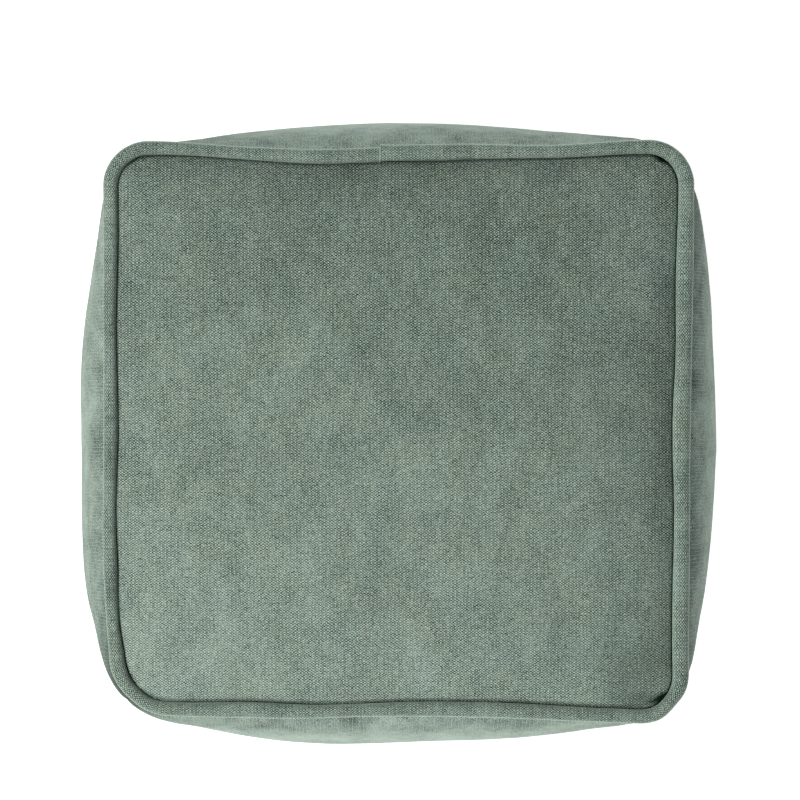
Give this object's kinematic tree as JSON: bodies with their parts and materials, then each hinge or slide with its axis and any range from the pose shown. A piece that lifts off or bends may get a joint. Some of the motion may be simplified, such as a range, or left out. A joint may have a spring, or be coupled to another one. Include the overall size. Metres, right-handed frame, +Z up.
{
  "type": "cube pouf stool",
  "caption": "Cube pouf stool in woven chenille velvet: a stuffed cloth cube with swelling sides, a crowned top panel and a ring of piping round its top edge.",
  "frame": {"origin": "on the floor, under the middle of the pouf", "axes": "+Z up; +X to the right seen from the front; the front is towards -Y and the piping's join is at the back, towards +Y"},
  "size_m": [0.5062, 0.4948, 0.45],
  "materials": {
    "velvet": "sage green woven chenille velvet, soft sheen, faint mottling"
  },
  "bodies": {
    "root": {"filled_body": "velvet", "top_panel": "velvet", "base_panel": "velvet", "top_piping": "velvet"}
  },
  "joints": []
}
